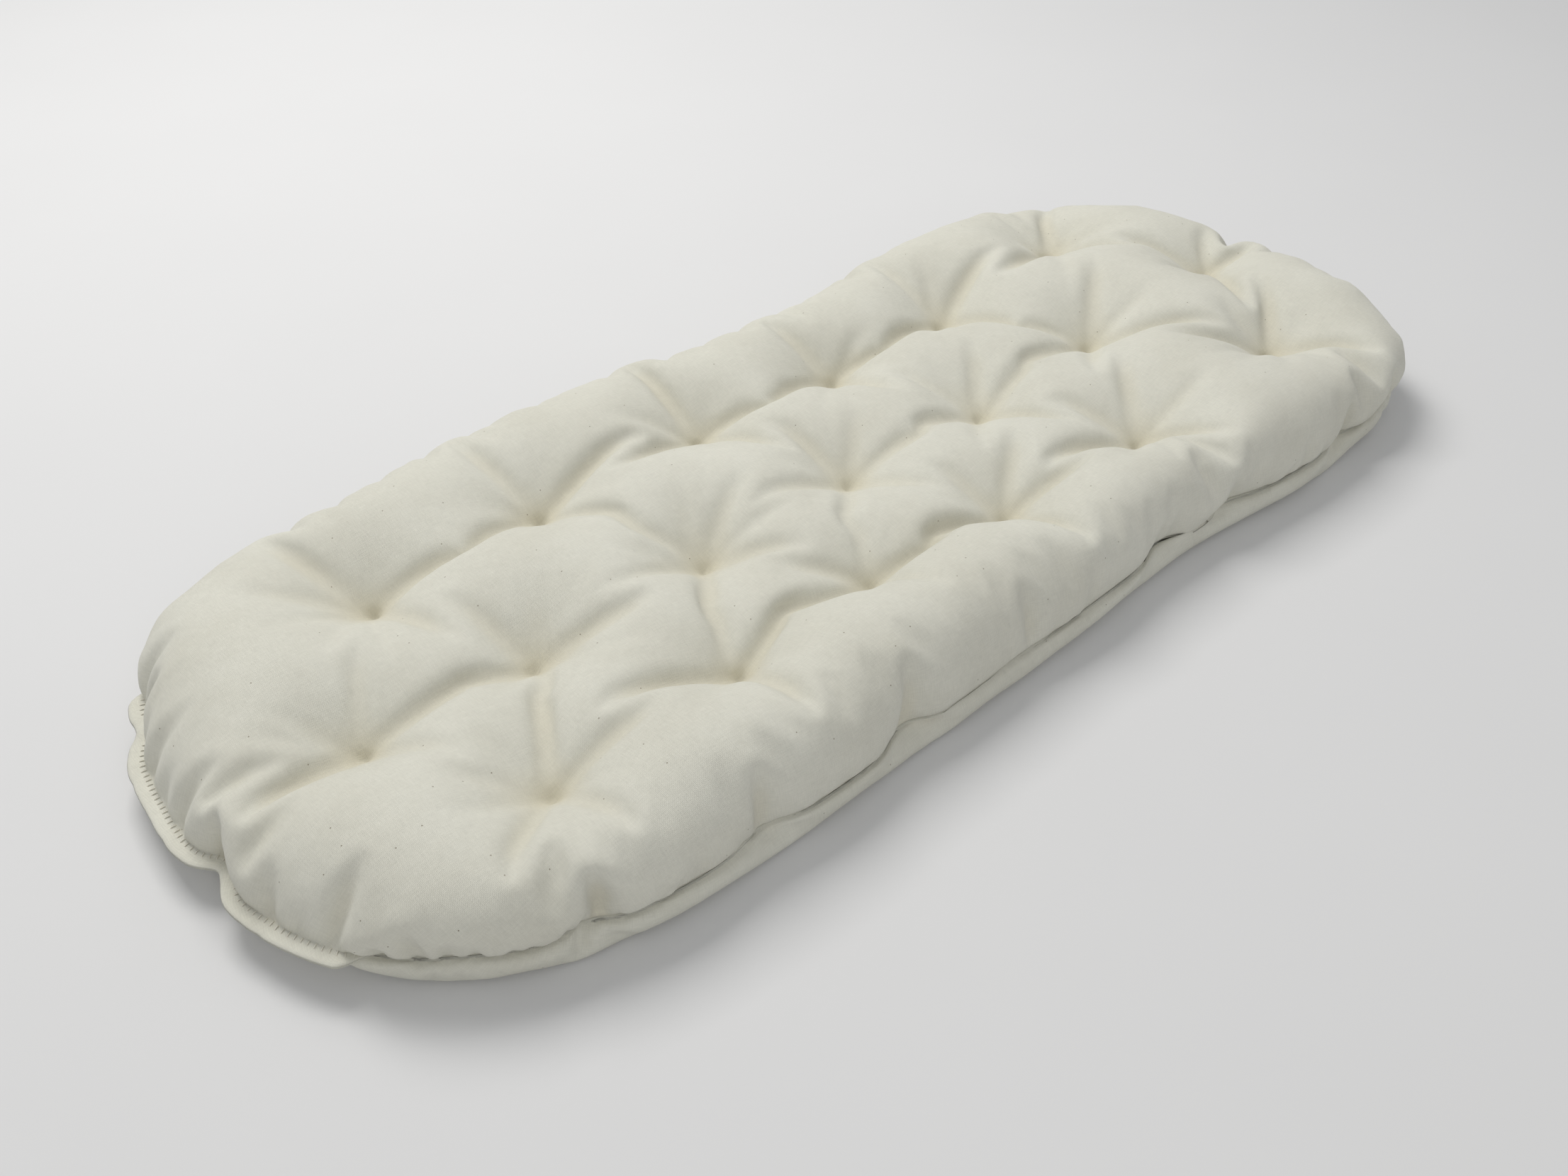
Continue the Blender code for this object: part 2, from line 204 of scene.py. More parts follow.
def grid_inside(edge, spacing):
    """A triangular grid of points inside the flat panel's edge, and clear of it."""
    low, high = edge.min(0), edge.max(0)
    rise = spacing * math.sqrt(0.75)
    rows = np.arange(int((high[1] - low[1]) / rise) + 1)
    columns = np.arange(int((high[0] - low[0]) / spacing) + 2)
    x, y = np.meshgrid(low[0] + columns * spacing, low[1] + rows * rise)
    x[1::2] += spacing / 2
    grid = np.stack([x.ravel(), y.ravel()], 1)
    grid = grid[inside_loop(grid, edge)]
    return grid[loop_distance(grid, edge)[0] > EDGE_CLEAR * spacing]


def triangles_inside(points, edge):
    """Anticlockwise triangles between the points, within the closed edge that they start with."""
    ring = [(k, (k + 1) % len(edge)) for k in range(len(edge))]
    made = delaunay_2d_cdt([Vector(p) for p in points.tolist()], ring, [], 0, 1e-9)
    came_from = np.array([origin[0] for origin in made[3]])
    faces = came_from[np.array(made[2])]
    middle = points[faces].mean(1)
    a, b, c = points[faces[:, 0]], points[faces[:, 1]], points[faces[:, 2]]
    area = (b - a)[:, 0] * (c - a)[:, 1] - (b - a)[:, 1] * (c - a)[:, 0]
    faces[area < 0] = faces[area < 0][:, ::-1]
    return faces[inside_loop(middle, edge) & (abs(area) > 1e-9)]


def flat_cut(spacing):
    """The flat panel: points, triangles, its edge's finished places, and the tufts' points."""
    edge, finished = even_loop(cut_edge(), spacing, OUTLINE)
    grid = grid_inside(edge, spacing)
    tuft_points = []
    for tuft in TUFTS * (CUT_ALONG, CUT_ACROSS):
        nearest = int(np.argmin(((grid - tuft) ** 2).sum(1)))
        grid[nearest] = tuft
        tuft_points.append(nearest + len(edge))
    points = np.vstack([edge, grid])
    return points, triangles_inside(points, edge), finished, np.array(tuft_points)


def pairs_of(faces):
    """The mesh's edges, and the pairs of points that face each other across an edge."""
    sides = np.vstack([faces[:, [0, 1]], faces[:, [1, 2]], faces[:, [2, 0]]])
    far = np.concatenate([faces[:, 2], faces[:, 0], faces[:, 1]])
    key = np.sort(sides, 1)
    order = np.lexsort((key[:, 1], key[:, 0]))
    key, far = key[order], far[order]
    first = np.ones(len(key), bool)
    first[1:] = (key[1:] != key[:-1]).any(1)
    edges = key[first]
    starts = np.flatnonzero(first)
    counts = np.diff(np.append(starts, len(key)))
    two = starts[counts == 2]
    return edges, np.stack([far[two], far[two + 1]], 1)


def coloured(pairs, count):
    """The pairs, as groups in which no point comes twice."""
    used = [0] * count
    groups = {}
    for k, (a, b) in enumerate(pairs.tolist()):
        taken = used[a] | used[b]
        colour = 0
        while taken >> colour & 1:
            colour += 1
        used[a] |= 1 << colour
        used[b] |= 1 << colour
        groups.setdefault(colour, []).append(k)
    return [np.array(group) for _, group in sorted(groups.items())]


def point_normals(points, faces, count):
    """Unit normals at the points, weighted by the area of the triangles round them."""
    a, b, c = points[faces[:, 0]], points[faces[:, 1]], points[faces[:, 2]]
    normal = np.cross(b - a, c - a)
    total = np.zeros((count, 3))
    for axis in range(3):
        for corner in range(3):
            total[:, axis] += np.bincount(faces[:, corner], normal[:, axis], count)
    return total / np.maximum(np.linalg.norm(total, axis=1), 1e-12)[:, None]


def seam_goal(finished):
    """Where the seam comes to lie, and the rest lengths of its stitches."""
    out = outward_of(finished)
    front = np.clip(-out[:, 1], 0, 1) ** 2
    inset = SEAM_INSET + (FRONT_SEAM_INSET - SEAM_INSET) * front
    inset += (LIP_INSET - inset) * lip_share(finished)
    gather = np.full(len(finished), SEAM_EASE)
    middles = (finished + np.roll(finished, -1, 0)) / 2
    for x, y, draw in PINCHES_MM:
        place = np.array((x, y)) / 1000 - CENTRE
        near = np.exp(-((np.linalg.norm(finished - place, axis=1) / PINCH_SPAN) ** 2))
        inset += draw / 1000 * near
        near = np.exp(-((np.linalg.norm(middles - place, axis=1) / PINCH_SPAN) ** 2))
        gather *= 1 - PINCH_GATHER * near
    goal = finished - out * inset[:, None]
    length = np.linalg.norm(np.roll(goal, -1, 0) - goal, axis=1)
    return np.column_stack([goal, np.full(len(goal), SEAM_HEIGHT)]), length * gather


def panel_lengths(cut, pairs, is_lower):
    """How far apart each pair of points is on its own flat panel."""
    gap = cut[pairs[:, 0]] - cut[pairs[:, 1]]
    smaller = gap * (UNDER_ALONG, UNDER_ACROSS)
    return np.linalg.norm(np.where(is_lower[pairs].any(1)[:, None], smaller, gap), axis=1)


def springs(faces, cut, is_lower, rim, stitch):
    """The cloth's threads and bends: groups of point pairs, their rest lengths and firmness."""
    edges, bends = pairs_of(faces)
    bends = bends[is_lower[bends[:, 0]] == is_lower[bends[:, 1]]]
    rest, bend_rest = (panel_lengths(cut, pairs, is_lower) for pairs in (edges, bends))
    for k in np.flatnonzero((edges < rim).all(1)):
        low, high = edges[k]
        rest[k] = stitch[low if high == low + 1 else high]
    groups = []
    for pairs, lengths, share in ((edges, rest, STRETCH), (bends, bend_rest, BEND)):
        groups += [(pairs[g, 0], pairs[g, 1], lengths[g], share) for g in coloured(pairs, len(cut))]
    return groups


def first_places(flat, cut, inner, rim):
    """Two low domes, edge to edge, a little uneven so that creases can start."""
    depth = loop_distance(flat, flat[:rim])[0]
    dome = START_RISE + START_DOME * np.clip(depth / START_REACH, 0, 1) ** 0.5
    spot = np.zeros((len(cut), 3))
    spot[:, :2] = cut * (UNDER_ALONG, UNDER_ACROSS) * START_SHRINK
    spot[: len(flat), 2] = SEAM_HEIGHT + dome
    spot[len(flat):, 2] = SEAM_HEIGHT - dome[inner]
    spot[:rim, 2] = SEAM_HEIGHT
    spot[:, 2] += np.random.default_rng(SEED).normal(0, UNEVEN, len(cut))
    return spot


def tie_goals(count):
    """Where the ties hold the top panel's tuft points, and then the bottom panel's."""
    goal = np.zeros((2 * count, 3))
    goal[:, :2] = np.tile(TUFTS, (2, 1))
    goal[:count, 2] = TUFT_TOP
    goal[count:, 2] = TUFT_BOTTOM
    return goal


def settle(spot, faces, groups, held, goal, seam):
    """Moves the points until the filling, the threads, the ties, the seam and the floor agree."""
    rim = len(seam)
    start = spot[held].copy()
    before = spot.copy()
    for step in range(STEPS):
        share = min(1.0, step / (DRAW_DOWN * STEPS))
        speed = (spot - before) * DAMP
        before = spot.copy()
        outwards = point_normals(spot, faces, len(spot))
        spot += speed + outwards * PUSH * (FIRST_PUSH + (1 - FIRST_PUSH) * share)
        pinned = start + (goal - start) * share
        for _ in range(SWEEPS):
            for a, b, length, firmness in groups:
                satisfy(spot, a, b, length, firmness)
            spot[held] = pinned
            np.maximum(spot[:, 2], 0, out=spot[:, 2])
            spot[:rim] += (seam - spot[:rim]) * SEAM_HOLD


def relax_casing():
    """Both panels, sewn round the edge, filled and tied down: 3-D points and what they belong to."""
    flat, faces, finished, tuft_points = flat_cut(SPACING)
    rim = len(finished)
    inner = np.arange(rim, len(flat))
    cut = np.vstack([flat, flat[inner]])
    lower_of = np.concatenate([np.arange(rim), np.arange(len(inner)) + len(flat)])
    everything = np.vstack([faces, lower_of[faces][:, ::-1]])
    seam, stitch = seam_goal(finished)
    groups = springs(everything, cut, np.arange(len(cut)) >= len(flat), rim, stitch)
    held = np.concatenate([tuft_points, lower_of[tuft_points]])
    spot = first_places(flat, cut, inner, rim)
    settle(spot, everything, groups, held, tie_goals(len(tuft_points)), seam)
    return spot[: len(flat)], spot[lower_of], flat, faces, rim


def satisfy(spot, a, b, rest, share):
    """Moves each pair of points towards its rest length."""
    gap = spot[b] - spot[a]
    length = np.sqrt(np.einsum("ij,ij->i", gap, gap)) + 1e-12
    move = gap * (share * (length - rest) / length)[:, None]
    spot[a] += move
    spot[b] -= move


# ---------------------------------------------------------------- from relaxed points to cloth

CLOTH = 0.0006  # thickness of the cotton
LINING_MOST = 0.0012  # the most that its coarser inner face lies deeper in creases
PLY_GAP = 0.0001  # between the two turned-in seam allowances, each side of the middle

# The edge of a panel beyond its seam line: how far out and how far from the seam's plane each
# ring lies, first where the panels are turned and sewn from inside, then along the closing lip.
TURNED_RINGS = (
    (0.0, 0.0012), (-0.0007, 0.00075), (-0.0015, 0.00045), (-0.0023, 0.0003),
    (-0.0030, 0.0002), (-0.0038, 0.0001), (-0.0048, 0.0001),
)
LIP_RINGS = (
    (0.0, 0.0013), (0.0026, 0.0014), (0.0058, 0.0013), (0.0072, 0.0009),
    (LIP, 0.0003), (0.0030, 0.0001), (-0.0040, 0.0001),
)
RING_CUT = 0.0016  # between those rings on the flat cut
LIP_TILT = 0.12  # how much the lip rises, for each metre outwards
LIP_WAVE = 0.0007  # how far it waves up and down, on two wavelengths
LIP_WAVELENGTHS = (0.016, 0.006)
TURN_SMOOTHING = 6  # rounds of evening out the seam's outward directions
PINCH_FADE = 0.020
PINCH_TUCK = 0.75  # how much shorter the turned-in cloth is at a pinch
LINING_INSET = 0.0006  # the inner face's edge lies this far inside the seam line
LINING_DEEPER = 1.3  # against the depth that would just miss the crease

# Uneven filling and puckers, as heights and the lengths over which they come and go.
LUMP = 0.00035
LUMP_SIZE = 0.030
RIPPLE = 0.000132
RIPPLE_SIZE = 0.007
SEAM_RIPPLE = 0.0003
SEAM_RIPPLE_PITCH = 0.012
SEAM_RIPPLE_REACH = 0.018
SEAM_CALM = 0.004  # none of it this close to the seam

# The painted shade of creases: the depth that counts as fully hollow, and rounds of blurring.
HOLLOW_DEPTH = 0.0022
HOLLOW_FORM_ROUNDS = 40
HOLLOW_EDGE_ROUNDS = 14


def edge_table(faces):
    """The mesh's edges, each triangle side's edge, and the corner that faces that side."""
    sides = np.vstack([faces[:, [0, 1]], faces[:, [1, 2]], faces[:, [2, 0]]])
    far = np.concatenate([faces[:, 2], faces[:, 0], faces[:, 1]])
    edges, of_side, uses = np.unique(np.sort(sides, 1), axis=0, return_inverse=True, return_counts=True)
    return edges, of_side.reshape(-1), uses, far


def rounded(points, edges, of_side, uses, far, rim):
    """Where Loop's rule puts the old points, and the new ones on the edges."""
    a, b = edges[:, 0], edges[:, 1]
    across = np.zeros((len(edges), 3))
    np.add.at(across, of_side, points[far])
    middle = (points[a] + points[b]) / 2
    inner = uses == 2
    middle[inner] = middle[inner] * 0.75 + across[inner] / 8

    total, degree = np.zeros((len(points), 3)), np.bincount(edges.ravel(), minlength=len(points))
    np.add.at(total, a, points[b])
    np.add.at(total, b, points[a])
    old = 0.625 * points + 0.375 * total / degree[:, None]
    ring = points[:rim]
    old[:rim] = 0.75 * ring + (np.roll(ring, 1, 0) + np.roll(ring, -1, 0)) / 8
    return old, middle


def refine(points, flat, faces, rim):
    """Each triangle as four, rounded by Loop's rule, with the rim's points in order first."""
    edges, of_side, uses, far = edge_table(faces)
    count = len(points)
    old, middle = rounded(points, edges, of_side, uses, far, rim)
    f, (m0, m1, m2) = faces.T, of_side.reshape(3, len(faces)) + count
    fine = np.vstack([
        np.stack(corners, 1)
        for corners in ((f[0], m0, m2), (f[1], m1, m0), (f[2], m2, m1), (m0, m1, m2))
    ])
    outer = {tuple(pair): k for k, pair in enumerate(edges.tolist()) if uses[k] == 1}
    order = []
    for k in range(rim):
        pair = tuple(sorted((k, (k + 1) % rim)))
        order += [k, outer[pair] + count]
    rest = np.setdiff1d(np.arange(count + len(edges)), order)
    order = np.concatenate([order, rest])
    number = np.empty(len(order), int)
    number[order] = np.arange(len(order))
    spots = np.vstack([old, middle])[order]
    flats = np.vstack([flat, (flat[edges[:, 0]] + flat[edges[:, 1]]) / 2])[order]
    return spots, flats, number[fine], number, edges


def lining(fine, normals, number, edges, count):
    """The cloth's inner face on the coarse points, far enough in that no side of it cuts a crease."""
    coarse, halves = number[:count], number[count:]
    inside = fine[coarse].copy()
    chord = (inside[edges[:, 0]] + inside[edges[:, 1]]) / 2
    proud = ((chord - fine[halves]) * normals[halves]).sum(1)
    extra = np.zeros(count)
    for end in (0, 1):
        np.maximum.at(extra, edges[:, end], proud)
    depth = CLOTH + np.minimum(LINING_DEEPER * extra, LINING_MOST)
    return inside - normals[coarse] * depth[:, None]


def averaged(values, edges, rounds):
    """Values blurred along the mesh's edges."""
    degree = np.bincount(edges.ravel(), minlength=len(values))
    for _ in range(rounds):
        total = np.bincount(edges[:, 0], values[edges[:, 1]], len(values))
        total += np.bincount(edges[:, 1], values[edges[:, 0]], len(values))
        values = 0.5 * values + 0.5 * total / degree
    return values


def hollowness(points, normals, faces):
    """How deep in a crease or dimple each point lies, from 0 to 1."""
    edges = edge_table(faces)[0]
    smooth = np.stack([averaged(points[:, axis], edges, HOLLOW_FORM_ROUNDS) for axis in range(3)], 1)
    depth = ((smooth - points) * normals).sum(1)
    return np.clip(averaged(depth, edges, HOLLOW_EDGE_ROUNDS) / HOLLOW_DEPTH, 0, 1)


def lumps(flat, rim, side):
    """Uneven filling and small puckers: how far each point moves out."""
    away, nearest = loop_distance(flat, flat[:rim:2])
    near = np.clip(1 - away / SEAM_RIPPLE_REACH, 0, 1)
    walked = nearest * SPACING / SEAM_RIPPLE_PITCH
    found = np.zeros(len(flat))
    for k, (x, y) in enumerate(flat.tolist()):
        big = noise.noise((x / LUMP_SIZE, y / LUMP_SIZE, side))
        small = noise.noise((x / RIPPLE_SIZE, y / RIPPLE_SIZE, side + 9))
        pucker = noise.noise((walked[k], near[k] * 0.4, side + 20)) if near[k] > 0 else 0.0
        found[k] = LUMP * big + RIPPLE * small + SEAM_RIPPLE * near[k] * pucker
    found[:rim] = 0
    return found * np.clip(away / SEAM_CALM, 0, 1)


def rim_frame(ring):
    """Outward directions along the seam, and how much of the lip there is at each point."""
    out = outward_of(ring[:, :2])
    for _ in range(TURN_SMOOTHING):
        out = (np.roll(out, 1, 0) + 2 * out + np.roll(out, -1, 0)) / 4
    out /= np.linalg.norm(out, axis=1)[:, None]
    return out, lip_share(ring[:, :2])


def pinch_share(ring):
    """1 where the seam is gathered hardest, falling to 0 away from those places."""
    share = np.zeros(len(ring))
    for x, y, _ in PINCHES_MM:
        place = np.array((x, y)) / 1000 - CENTRE
        away = np.linalg.norm(ring[:, :2] - place, axis=1)
        share = np.maximum(share, np.exp(-((away / PINCH_FADE) ** 2)))
    return share


def lip_wave(ring):
    """The lip's rise and fall along its length."""
    long, short = LIP_WAVELENGTHS
    return np.array([
        LIP_WAVE * noise.noise((x / long, y / long, 3.0))
        + LIP_WAVE * noise.noise((x / short, y / short, 8.0)) / 3
        for x, y, _ in ring.tolist()
    ])


def edge_rings(ring, side):
    """The rings of points past the seam line, turned in, or folded into the lip."""
    out, lip = rim_frame(ring)
    wave = lip_wave(ring) * lip
    tight = pinch_share(ring)
    rings = []
    for (turn_out, turn_up), (lip_out, lip_up) in zip(TURNED_RINGS, LIP_RINGS):
        reach = turn_out + (lip_out - turn_out) * lip
        reach = np.where(reach < 0, reach * (1 - PINCH_TUCK * tight), reach)
        up = side * (turn_up + (lip_up - turn_up) * lip)
        outside = np.clip(reach, 0, None)
        made = ring.copy()
        made[:, :2] += out * reach[:, None]
        made[:, 2] += up + outside * LIP_TILT + wave * outside / LIP
        rings.append(made)
    return rings


def strip(first, second, flip):
    """Quads between two closed rings of point numbers."""
    after, beyond = np.roll(first, -1), np.roll(second, -1)
    quads = np.stack([first, second, beyond, after], 1)
    return quads[:, ::-1] if flip else quads


def fan(fine, coarse, flip):
    """Triangles between a closed ring of point numbers and one with half as many."""
    found = []
    for k, p in enumerate(coarse):
        q = coarse[(k + 1) % len(coarse)]
        a, b, c = fine[2 * k], fine[2 * k + 1], fine[(2 * k + 2) % len(fine)]
        found += [(b, a, p), (b, p, q), (b, q, c)]
    return np.array(found)[:, ::-1] if flip else np.array(found)


def outer_face(points, flat, faces, rim, side):
    """The panel's fine outside, its creases' depth, its flat places, its triangles, and its inside."""
    fine, fine_flat, fine_faces, number, edges = refine(points, flat, faces, rim)
    fine_faces = fine_faces if side > 0 else fine_faces[:, ::-1]
    normals = point_normals(fine, fine_faces, len(fine))
    fine = fine + normals * lumps(fine_flat, 2 * rim, side)[:, None]
    fine[:, 2] = np.maximum(fine[:, 2], 0)
    hollow = hollowness(fine, normals, fine_faces)
    inside = lining(fine, normals, number, edges, len(points))
    out, lip = rim_frame(points[:rim])
    inside[:rim] = points[:rim]
    inside[:rim, :2] -= out * LINING_INSET
    inside[:rim, 2] += side * (PLY_GAP + CLOTH * (1 + 0.6 * lip))
    return fine, hollow, fine_flat, fine_faces, inside


def cloth_panel(name, points, flat, faces, rim, side, material):
    """One panel as a thin closed piece: outside, seam allowance, and inside."""
    fine, hollow, fine_flat, fine_faces, inside = outer_face(points, flat, faces, rim, side)
    around = 2 * rim
    rings = edge_rings(fine[:around].copy(), side)
    fine[:around] = rings[0]
    rings = rings[1:] + [rings[-1] + np.array((0, 0, side * CLOTH))]
    out = outward_of(fine_flat[:around])
    steps = [min(k + 1, len(rings) - 1) for k in range(len(rings))]
    flats = [fine_flat] + [fine_flat[:around] + out * RING_CUT * step for step in steps]

    made = [fine_faces]
    last = np.arange(around)
    for k in range(len(rings)):
        numbers = len(fine) + k * around + np.arange(around)
        made.append(strip(last, numbers, side < 0))
        last = numbers
    inner = last[-1] + 1
    made.append(fan(last, inner + np.arange(rim), side > 0))
    made.append((faces[:, ::-1] if side > 0 else faces) + inner)

    spots = np.vstack([fine, *rings, inside])
    piece = add_piece(name, spots, [face for part in made for face in part.tolist()], material)
    # Crease depth, which the cotton reads to paint shade into its creases.
    store(piece, "hollow", np.concatenate([hollow, np.zeros(len(spots) - len(fine))]))
    add_cut_map(piece, np.vstack([*flats, flat]))
    return piece


# ---------------------------------------------------------------- mesh helpers

ASIDE = (0.37, 0.61, 0.7)  # a direction that no thread runs along


def add_piece(name, points, faces, material):
    """A new smooth mesh object in the scene."""
    mesh = bpy.data.meshes.new(name)
    mesh.from_pydata(np.asarray(points).tolist(), [], faces)
    mesh.validate()
    mesh.shade_smooth()
    mesh.materials.append(material)
    piece = bpy.data.objects.new(name, mesh)
    bpy.context.scene.collection.objects.link(piece)
    return piece


def store(piece, name, values):
    """Keeps one value for each point, for the material to read."""
    layer = piece.data.attributes.new(name, "FLOAT", "POINT")
    layer.data.foreach_set("value", np.asarray(values, np.float32))


def add_cut_map(piece, flats):
    """A UV map that holds each point's place on the flat cut, in metres, for the weave."""
    layer = piece.data.uv_layers.new(name="cut")
    corner = np.empty(len(piece.data.loops), np.int32)
    piece.data.loops.foreach_get("vertex_index", corner)
    layer.data.foreach_set("uv", flats[corner].astype(np.float32).ravel())


def unit_tangents(path):
    """The direction of a path at each of its points."""
    along = np.gradient(path, axis=0)
    return along / (np.linalg.norm(along, axis=1)[:, None] + 1e-12)


def swept(path, radius, sides):
    """A round tube along a path, with closed ends: points and faces."""
    path = np.asarray(path, float)
    along = unit_tangents(path)
    side = np.cross(along[0], ASIDE)
    angles = 2 * math.pi * np.arange(sides) / sides
    points = []
    for place, ahead in zip(path, along):
        side = side - ahead * np.dot(side, ahead)
        side /= np.linalg.norm(side)
        other = np.cross(ahead, side)
        circle = np.outer(np.cos(angles), side) + np.outer(np.sin(angles), other)
        points.append(place + radius * circle)
    faces = []
    for k in range(len(path) - 1):
        for j in range(sides):
            a, b = k * sides + j, k * sides + (j + 1) % sides
            faces.append((a, b, b + sides, a + sides))
    last = (len(path) - 1) * sides
    faces.append(tuple(range(sides - 1, -1, -1)))
    faces.append(tuple(range(last, last + sides)))
    return np.vstack(points), faces


def joined(parts):
    """Several meshes as one."""
    points, faces, base = [], [], 0
    for part_points, part_faces in parts:
        points.append(part_points)
        faces += [tuple(int(base + n) for n in face) for face in part_faces]
        base += len(part_points)
    return np.vstack(points), faces


def bent(corners, steps):
    """An open smooth curve through the corners."""
    corners = np.asarray(corners, float)
    whole = np.vstack([2 * corners[0] - corners[1], corners, 2 * corners[-1] - corners[-2]])
    found = [curve_from(a, b, c, d, steps) for a, b, c, d in zip(whole, whole[1:], whole[2:], whole[3:])]
    return np.vstack(found + [corners[-1:]])


def plied(path, radius, twist):
    """Twine: two strands laid round each other along a path."""
    path = np.asarray(path, float)
    step = np.linalg.norm(np.diff(path, axis=0), axis=1)
    turn = np.concatenate([[0], np.cumsum(step)]) / twist * 2 * math.pi
    along = unit_tangents(path)
    side = np.cross(along, ASIDE)
    side /= np.linalg.norm(side, axis=1)[:, None]
    other = np.cross(along, side)
    strands = []
    for phase in (0, math.pi):
        shift = np.cos(turn + phase)[:, None] * side + np.sin(turn + phase)[:, None] * other
        strands.append(swept(path + shift * radius * STRAND_OFFSET, radius * STRAND_SIZE, THREAD_SIDES))
    return joined(strands)


# ---------------------------------------------------------------- filling, ties and stitches

BATT_SPACING = 0.0085
BATT_REACH = 0.007  # a layer stays below the cloth's lowest point this far around
BATT_MARGIN = 0.034  # between the cut edge and the layers' edges
BATT_ROUNDING = 0.0015  # how far the middle of a layer's edge stands out
BATTS = (  # each piece, its node, and the shares of the height between which it lies
    ("bottom_batting", "bottom_batt", 0.05, 0.34),
    ("core_batting", "core_batt", 0.36, 0.64),
    ("top_batting", "top_batt", 0.66, 0.94),
)
EDGE_SAMPLE = 7  # every seventh point of the cut edge is enough to measure from

TWINE = 0.0006
TWINE_TWIST = 0.0034
STRAND_OFFSET = 0.5  # against the twine's radius
STRAND_SIZE = 0.56
THREAD_SIDES = 6
CURVE_STEPS = 8
TIE_TURN = 1.9  # radians from each tie to the next
TIE_BAR = 0.0017  # half the length of the stitch that a tuft shows
BAR_PATH = ((1.0, -0.0012), (0.8, 0.0002), (0.0, 0.0009))  # share of that, height over the tuft
LEG_END = 0.001  # how far above the bottom panel the strands end
KNOT_DROP = 0.0022
KNOT_RADIUS = 0.00117
KNOT_SWING = 0.00065
KNOT_RISE = 0.0007
KNOT_POINTS = 40
TAIL_PATH = ((0, 0, 0), (0.003, 0.001, -0.0008), (0.006, 0.0005, -0.0022), (0.009, -0.001, -0.0036))

STITCH_PITCH = 0.0032
STITCH_PATH = (  # share of the pitch along, distance out from the seam line, height over the cloth
    (-0.10, -0.0002, -0.0007), (-0.08, 0.0, 0.0001), (0.0, 0.0012, 0.00035),
    (0.08, 0.0023, 0.0001), (0.10, 0.0026, -0.0007),
)
THREAD = 0.0002
LIP_FACE = 0.0014  # the lip's faces are this far above and below its middle
CLOSING_THREAD = 0.00026
SIDE_THREAD_INSET = 0.0016
SIDE_THREAD_SWING = 0.0007


def batting_space(top, low, flat):
    """The space between the relaxed panels: points above and below it, and triangles between them."""
    plan, faces, _, _ = flat_cut(BATT_SPACING)
    above, below = np.empty((len(plan), 3)), np.empty((len(plan), 3))
    for k, place in enumerate(plan):
        away = ((flat - place) ** 2).sum(1)
        nearest, around = int(np.argmin(away)), away < BATT_REACH**2
        above[k], below[k] = top[nearest], low[nearest]
        above[k, 2], below[k, 2] = top[around, 2].min(), low[around, 2].max()
    deep = loop_distance(plan, cut_edge()[::EDGE_SAMPLE])[0] > BATT_MARGIN
    faces = faces[deep[faces].all(1)]
    used = np.unique(faces)
    number = np.full(len(plan), -1)
    number[used] = np.arange(len(used))
    return above[used], below[used], number[faces]


def border_of(faces):
    """The triangle sides that no other triangle shares."""
    sides = np.vstack([faces[:, [0, 1]], faces[:, [1, 2]], faces[:, [2, 0]]]).tolist()
    reverse = {(b, a) for a, b in sides}
    return [(a, b) for a, b in sides if (a, b) not in reverse]


def slab(upper, lower, faces, border):
    """A closed layer between two sheets of points, with a rounded edge: points and faces."""
    count = len(upper)
    middle = (upper + lower) / 2
    walls, outermost, extra = [], [], {}
    for a, b in border:
        for k in (a, b):
            if k not in extra:
                extra[k] = 2 * count + len(extra)
                out = middle[k, :2] / np.linalg.norm(middle[k, :2])
                outermost.append(middle[k] + np.array((*out * BATT_ROUNDING, 0)))
        walls += [(b, a, extra[a], extra[b]), (extra[b], extra[a], a + count, b + count)]
    points = np.vstack([upper, lower, np.array(outermost)])
    return points, faces.tolist() + (faces[:, ::-1] + count).tolist() + walls


def batting(top, low, flat, material):
    """Three layers of batting that fill the space between the relaxed panels."""
    above, below, faces = batting_space(top, low, flat)
    border = border_of(faces)
    for name, node, low_share, high_share in BATTS:
        upper, lower = (below + (above - below) * share for share in (high_share, low_share))
        piece = add_piece(name, *slab(upper, lower, faces, border), material)
        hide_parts(node)
        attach(piece, "root")


def tie_lines():
    """The lines that a tie's twine follows, round its own place: a stitch, a knot and two tails."""
    bar = [(share * TIE_BAR, 0, TUFT_TOP + height) for share, height in BAR_PATH]
    leg = [(TIE_BAR, 0, TUFT_BOTTOM + LEG_END)]
    right = leg + bar
    left = [(-x, y, z) for x, y, z in right]
    knot_height = TUFT_BOTTOM - KNOT_DROP
    knot = []
    for t in np.linspace(0, 2 * math.pi, KNOT_POINTS):
        reach = KNOT_RADIUS + KNOT_SWING * math.cos(3 * t)
        height = knot_height + KNOT_RISE * math.sin(3 * t)
        knot.append((reach * math.cos(2 * t), reach * math.sin(2 * t), height))
    tails = [[(way * x, way * y, knot_height + z) for x, y, z in TAIL_PATH] for way in (-1, 1)]
    return [bent(left + right[-2::-1], CURVE_STEPS), knot] + [bent(tail, CURVE_STEPS) for tail in tails]


def tie(name, node, place, turn, material):
    """One twine tie: a short bar in the dimple, down through the filling, a knot and tails."""
    c, s = math.cos(turn), math.sin(turn)
    parts = []
    for line in tie_lines():
        path = [(place[0] + x * c - y * s, place[1] + x * s + y * c, z) for x, y, z in line]
        parts.append(plied(path, TWINE, TWINE_TWIST))
    piece = add_piece(name, *joined(parts), material)
    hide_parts(node)
    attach(piece, "root")


